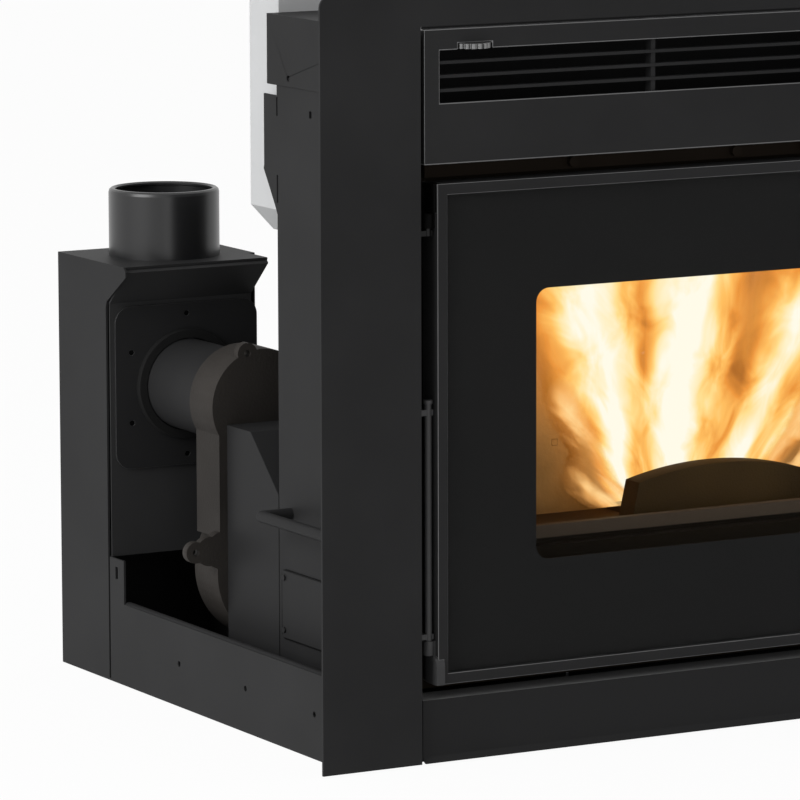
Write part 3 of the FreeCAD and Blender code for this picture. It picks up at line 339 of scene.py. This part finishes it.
def add_piece(name, mesh, look, body):
    """Puts a mesh into the scene on a body."""
    mesh.materials.append(look)
    obj = bpy.data.objects.new(name, mesh)
    bpy.context.scene.collection.objects.link(obj)
    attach(obj, body)


def add_shape(name, shape, look, body):
    mesh = bpy.data.meshes.new(name)
    shape.to_mesh(mesh)
    shape.free()
    add_piece(name, mesh, look, body)


# Screws of the flange plate, sunk in its six bores; their near-black colour, darker than the paint, is a
# painted shade of the bores.
SCREW_CIRCLE = 0.064
SCREW_RADIUS = 0.0025
SCREW_LONG = 0.002
SCREW_SUNK = 0.0004
SCREW_COUNT = 6
SCREW_SIDES = 20


def flange_screws():
    low, high = (Vector(corner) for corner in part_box("flange_plate"))
    middle = (low + high) / 2
    depth = low.y + SCREW_SUNK + SCREW_LONG / 2
    lie_down = Matrix.Rotation(math.pi / 2, 4, "X")
    shape = bmesh.new()
    for k in range(SCREW_COUNT):
        angle = 2 * math.pi * k / SCREW_COUNT
        x = middle.x + SCREW_CIRCLE * math.sin(angle)
        z = middle.z + SCREW_CIRCLE * math.cos(angle)
        place = Matrix.Translation((x, depth, z)) @ lie_down
        bmesh.ops.create_cone(shape, cap_ends=True, segments=SCREW_SIDES, radius1=SCREW_RADIUS,
                              radius2=SCREW_RADIUS, depth=SCREW_LONG, matrix=place)
    # Near-black: painted shade of the bores.
    look = coated("screw_bore_shade", (0.0025, 0.0025, 0.0025), 0.6, depth=0.0, gloss=0.03)
    add_shape("flange_screws", shape, look, "base")


def plain_box(name, low, high, look, body):
    """Square-edged piece between two corners."""
    low = Vector(low)
    high = Vector(high)
    shape = bmesh.new()
    place = Matrix.Translation((low + high) / 2) @ Matrix.Diagonal(high - low).to_4x4()
    bmesh.ops.create_cube(shape, size=1.0, matrix=place)
    add_shape(name, shape, look, body)


flange_screws()

# Cap in the square sensor hole of the rear fire board.
CAP_X = -0.119
CAP_Z = 0.231
CAP_HALF = 0.00265
CAP_DEEP = 0.003
BOARD_LOW, BOARD_HIGH = (Vector(corner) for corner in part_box("fire_board_back"))
plain_box("sensor_cap", (CAP_X - CAP_HALF, BOARD_LOW.y, CAP_Z - CAP_HALF),
          (CAP_X + CAP_HALF, BOARD_LOW.y + CAP_DEEP, CAP_Z + CAP_HALF), LOOKS["fire_board"], "stove")

# Dark strip behind the gap between top panel and surround, put there for the shade in the gap: a painted
# shade.
STRIP_PLAY = 0.0002
STRIP_THICK = 0.001
STRIP_HIGH = 0.007
PANEL_LOW, PANEL_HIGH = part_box("top_panel")
STRIP_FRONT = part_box("top_cover")[0][1] + STRIP_PLAY
STRIP_LOW = PANEL_HIGH[2] + STRIP_PLAY
plain_box("panel_gap_shade_strip", (PANEL_LOW[0], STRIP_FRONT, STRIP_LOW),
          (PANEL_HIGH[0], STRIP_FRONT + STRIP_THICK, STRIP_LOW + STRIP_HIGH), PAINT, "stove")

# Flame colours by warmth, with streaks that fan out from a point below the burner.
FLAME_GLOW = 1.08
FAN_ROOT = 0.10
FAN_SCALE = 9.0
FAN_DETAIL = 3.2
FAN_STRETCH = (0.8, 2.2, 1.0)
FAN_DISTORTION = 0.7
STREAK_DEPTH = 1.1
COVER_STOPS = (0.09, 0.34)
HOLE_CLOSED = 0.62


def fan_noise(made):
    """Noise drawn out along rays from the burner, with the flames' own X and Z as its plane."""
    axes = made.axes()
    height = made.math("SUBTRACT", axes["Z"], FAN_ROOT)
    polar = made.add("ShaderNodeCombineXYZ")
    made.link(made.math("ARCTAN2", axes["X"], height), polar.inputs["X"])
    made.link(height, polar.inputs["Y"])
    return made.noise(FAN_SCALE, FAN_DETAIL, FAN_STRETCH, polar.outputs["Vector"], FAN_DISTORTION)


def flame_skin(name, stops, torn):
    """Glow coloured by its warmth and its streaks that fades to nothing at the rim."""
    made = Shader(name)
    made.set(Base_Color=(0.0, 0.0, 0.0, 1.0), Roughness=1.0, Specular_IOR_Level=0.0,
             Emission_Strength=FLAME_GLOW)
    clear, full = (0.0,) * 3, (1.0,) * 3
    warmth = made.add("ShaderNodeAttribute", attribute_name="warmth").outputs["Fac"]
    streaks = fan_noise(made)
    centred = made.math("MULTIPLY_ADD", streaks, STREAK_DEPTH, -STREAK_DEPTH / 2)
    colour = made.ramp(made.math("ADD", warmth, centred), stops)
    cover = made.ramp(warmth, list(zip(COVER_STOPS, (clear, full))))
    holes = made.ramp(streaks, [(0.5 * torn, (1.0 - torn,) * 3), (HOLE_CLOSED, full)])
    made.link(colour, made.main.inputs["Emission Color"])
    made.link(made.math("MULTIPLY", cover, holes), made.main.inputs["Alpha"])
    return made.material


MAIN_FLAME = flame_skin("flame", [
    (0.02, (0.42, 0.14, 0.022)),
    (0.26, (0.84, 0.31, 0.05)),
    (0.46, (1.0, 0.52, 0.12)),
    (0.64, (1.0, 0.72, 0.27)),
    (0.84, (1.0, 0.86, 0.55)),
    (1.0, (1.0, 0.95, 0.80)),
], 0.0)
LICK_FLAME = flame_skin("flame_lick", [
    (0.02, (0.68, 0.27, 0.06)),
    (0.35, (0.92, 0.45, 0.13)),
    (0.65, (1.0, 0.66, 0.28)),
    (1.0, (1.0, 0.86, 0.54)),
], 0.85)

# Flames: curved lens-thin bodies cut to the outline of a field of plumes that spread from the burn pot.
SIDE_GAP = 0.022
POT_GAP = 0.003
ROOF_GAP = 0.012
FIRE_HALF = BOARD_HIGH.x - SIDE_GAP
FIRE_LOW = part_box("burn_pot")[1][2] + POT_GAP
FIRE_HIGH = BOARD_HIGH.z - ROOF_GAP
CELL = 0.0035
RIM_HEAT = 0.05
BODY_HALF = 0.004
BEND_ACROSS = 14.0
BEND_UP = 11.0
BEND_SIDES = 9.0
CORNERS = ((0, 0), (1, 0), (1, 1), (0, 1))


class Plume:
    """Straight streak of heat from one (X, Z) to another that widens on its way and wavers."""

    LEAD = 0.15
    FADE_IN = 0.2
    FADE_END = 1.12
    FADE_OUT = 0.3
    FALLOFF = 1.4
    SLOW_WAVE = 38.0
    SLOW_SHIFT = 90.0
    FAST_WAVE = 97.0
    FAST_SHIFT = 30.0
    FAST_SHARE = 0.5
    STREAK = 0.07
    STREAK_ACROSS = 9.0
    STREAK_ALONG = 21.0

    def __init__(self, start, end, narrow, broad, strength, waver=0.003):
        self.start = Vector(start)
        self.run = Vector(end) - self.start
        self.length = self.run.length
        self.run.normalize()
        self.narrow = narrow
        self.broad = broad
        self.strength = strength
        self.waver = waver

    def at(self, x, z):
        """Heat of this plume at a place."""
        away = Vector((x, z)) - self.start
        along = away.dot(self.run)
        part = along / self.length
        if part < -self.LEAD:
            return 0.0
        across = away.x * self.run.y - away.y * self.run.x
        wander = math.sin(self.SLOW_WAVE * along + self.SLOW_SHIFT * self.start.x)
        wander += self.FAST_SHARE * math.sin(self.FAST_WAVE * along + self.FAST_SHIFT)
        across += self.waver * wander
        half = self.narrow + (self.broad - self.narrow) * max(part, 0.0)
        rise = min(1.0, (part + self.LEAD) / self.FADE_IN)
        fade = rise * min(1.0, max(0.0, (self.FADE_END - part) / self.FADE_OUT))
        swing = across / half * self.STREAK_ACROSS + self.STREAK_ALONG * along
        streaks = 1.0 + self.STREAK * math.sin(swing)
        return self.strength * math.exp(-self.FALLOFF * (across / half) ** 2) * fade * streaks


def both_sides(start, end, *rest):
    """A plume and its mirror image."""
    flip = Vector((-1.0, 1.0))
    return [Plume(start, end, *rest), Plume(Vector(start) * flip, Vector(end) * flip, *rest)]


def fire_body(name, depth, bulge, plumes, look):
    """Closed body over the cells of a grid that are hot enough, thin at its rim."""
    columns = int(2 * FIRE_HALF / CELL)
    rows = int((FIRE_HIGH - FIRE_LOW) / CELL)

    def place_of(i, k):
        return -FIRE_HALF + CELL * i, FIRE_LOW + CELL * k

    heat = {}
    for i in range(columns + 1):
        for k in range(rows + 1):
            heat[i, k] = max(0.0, sum(plume.at(*place_of(i, k)) for plume in plumes))
    kept = set()
    for i in range(columns):
        for k in range(rows):
            if min(heat[i + a, k + b] for a, b in CORNERS) > RIM_HEAT:
                kept.add((i, k))
    front = {}
    back = {}
    points = []
    heats = []

    def vertex(i, k, shift):
        x, z = place_of(i, k)
        wave = bulge * math.sin(BEND_ACROSS * x + BEND_UP * z) * math.cos(BEND_SIDES * x)
        points.append((x, depth + wave + shift, z))
        heats.append(heat[i, k])
        return len(points) - 1

    for i, k in sorted({(i + a, k + b) for i, k in kept for a, b in CORNERS}):
        inside = all((i - a, k - b) in kept for a, b in CORNERS)
        thick = BODY_HALF * min(1.0, heat[i, k]) if inside else 0.0
        front[i, k] = vertex(i, k, -thick)
        back[i, k] = vertex(i, k, thick) if inside else front[i, k]
    faces = []
    for i, k in sorted(kept):
        ring = [(i + a, k + b) for a, b in CORNERS]
        faces.append([front[corner] for corner in ring])
        faces.append([back[corner] for corner in reversed(ring)])
    mesh = bpy.data.meshes.new(name)
    mesh.from_pydata(points, [], faces)
    for face in mesh.polygons:
        face.use_smooth = True
    layer = mesh.attributes.new("warmth", "FLOAT", "POINT")
    for place, value in zip(layer.data, heats):
        place.value = value
    add_piece(name, mesh, look, "stove")


# Each plume: start and end as (X, Z), narrow and broad half width, strength, waver.
MAIN_PLUMES = [
    Plume((-0.058, 0.185), (-0.098, 0.41), 0.014, 0.042, 0.80),
    Plume((-0.010, 0.185), (0.006, 0.42), 0.026, 0.044, 0.85),
    Plume((0.042, 0.185), (0.150, 0.38), 0.018, 0.040, 0.72),
    Plume((-0.075, 0.24), (-0.165, 0.42), 0.016, 0.034, 0.40),
    Plume((0.085, 0.20), (0.185, 0.31), 0.014, 0.030, 0.45),
    Plume((-0.040, 0.27), (-0.046, 0.41), 0.006, 0.012, -0.20),
    Plume((0.060, 0.27), (0.082, 0.41), 0.010, 0.022, -0.16),
    Plume((0.0, 0.165), (0.0, 0.48), 0.085, 0.20, 0.30, 0.0),
]
LICKS = both_sides((-0.070, 0.178), (-0.145, 0.285), 0.009, 0.020, 0.40)
LICKS += both_sides((-0.072, 0.174), (-0.130, 0.215), 0.010, 0.018, 0.42)
MAIN_AHEAD = 0.022
MAIN_BULGE = 0.006
LICKS_AHEAD = 0.040
LICKS_BULGE = 0.004
fire_body("flame_main", BOARD_LOW.y - MAIN_AHEAD, MAIN_BULGE, MAIN_PLUMES, MAIN_FLAME)
fire_body("flame_licks", BOARD_LOW.y - LICKS_AHEAD, LICKS_BULGE, LICKS, LICK_FLAME)

# World and floor: white to the camera, in reflections and through the glass, plain light otherwise.
AMBIENT = 0.48
FLOOR_SIDE = 30.0
FLOOR_DROP = 0.0005
FLOOR_GREY = (0.85, 0.85, 0.85, 1.0)
FLOOR_WHITE = 0.95
scene = bpy.context.scene
scene.view_settings.view_transform = "Standard"


def white_to_view(tree, lit, white):
    """Mixes a white background in for camera, glossy and transmitted rays."""
    path = tree.nodes.new("ShaderNodeLightPath")
    seen = path.outputs["Is Camera Ray"]
    for kind in ("Is Glossy Ray", "Is Transmission Ray"):
        either = tree.nodes.new("ShaderNodeMath")
        either.operation = "MAXIMUM"
        tree.links.new(seen, either.inputs[0])
        tree.links.new(path.outputs[kind], either.inputs[1])
        seen = either.outputs["Value"]
    mix = tree.nodes.new("ShaderNodeMixShader")
    tree.links.new(seen, mix.inputs["Fac"])
    tree.links.new(lit, mix.inputs[1])
    tree.links.new(white, mix.inputs[2])
    return mix.outputs["Shader"]


def studio_world():
    world = bpy.data.worlds.new("studio")
    world.use_nodes = True
    scene.world = world
    sky = world.node_tree
    ambient = sky.nodes["Background"]
    ambient.inputs["Color"].default_value = WHITE
    ambient.inputs["Strength"].default_value = AMBIENT
    backdrop = sky.nodes.new("ShaderNodeBackground")
    backdrop.inputs["Color"].default_value = WHITE
    backdrop.inputs["Strength"].default_value = 1.0
    mixed = white_to_view(sky, ambient.outputs["Background"], backdrop.outputs["Background"])
    sky.links.new(mixed, sky.nodes["World Output"].inputs["Surface"])


def pale_floor():
    """White to the view apart from a share of the matt floor, which keeps the shadow."""
    bpy.ops.mesh.primitive_plane_add(size=FLOOR_SIDE, location=(0.0, 0.0, -FLOOR_DROP))
    floor = bpy.context.object
    floor.name = "floor"
    pale = bpy.data.materials.new("pale_floor")
    pale.use_nodes = True
    ground = pale.node_tree
    matt = ground.nodes["Principled BSDF"]
    matt.inputs["Base Color"].default_value = FLOOR_GREY
    matt.inputs["Roughness"].default_value = 1.0
    glow = ground.nodes.new("ShaderNodeEmission")
    glow.inputs["Color"].default_value = WHITE
    glow.inputs["Strength"].default_value = 1.0
    shadowed = ground.nodes.new("ShaderNodeMixShader")
    shadowed.inputs["Fac"].default_value = FLOOR_WHITE
    ground.links.new(matt.outputs["BSDF"], shadowed.inputs[1])
    ground.links.new(glow.outputs["Emission"], shadowed.inputs[2])
    mixed = white_to_view(ground, matt.outputs["BSDF"], shadowed.outputs["Shader"])
    ground.links.new(mixed, ground.nodes["Material Output"].inputs["Surface"])
    floor.data.materials.append(pale)


def soft_lamp(name, at, aim, side, power):
    lamp = bpy.data.lights.new(name, "AREA")
    lamp.shape = "SQUARE"
    lamp.size = side
    lamp.energy = power
    obj = bpy.data.objects.new(name, lamp)
    obj.location = at
    obj.rotation_euler = (Vector(aim) - Vector(at)).to_track_quat("-Z", "Y").to_euler()
    scene.collection.objects.link(obj)


def photo_camera():
    camera = bpy.data.cameras.new("photo_camera")
    camera.lens = CAMERA_LENS
    camera.sensor_width = CAMERA_SENSOR
    camera.clip_end = CAMERA_REACH
    camera.shift_x = CAMERA_SHIFT_X
    camera.shift_y = CAMERA_SHIFT_Y
    eye = bpy.data.objects.new("photo_camera", camera)
    turn = Matrix((CAMERA_RIGHT, CAMERA_UP, -CAMERA_AHEAD)).transposed().to_4x4()
    eye.matrix_world = Matrix.Translation(CAMERA_AT) @ turn
    scene.collection.objects.link(eye)
    scene.camera = eye


studio_world()
pale_floor()
soft_lamp("left_softbox", at=(-4.0, -0.7, 2.0), aim=(-0.2, 0.0, 0.3), side=2.6, power=126.0)
soft_lamp("front_softbox", at=(-1.2, -4.4, 0.6), aim=(0.0, 0.0, 0.2), side=2.0, power=20.0)
photo_camera()

bpy.context.view_layer.update()
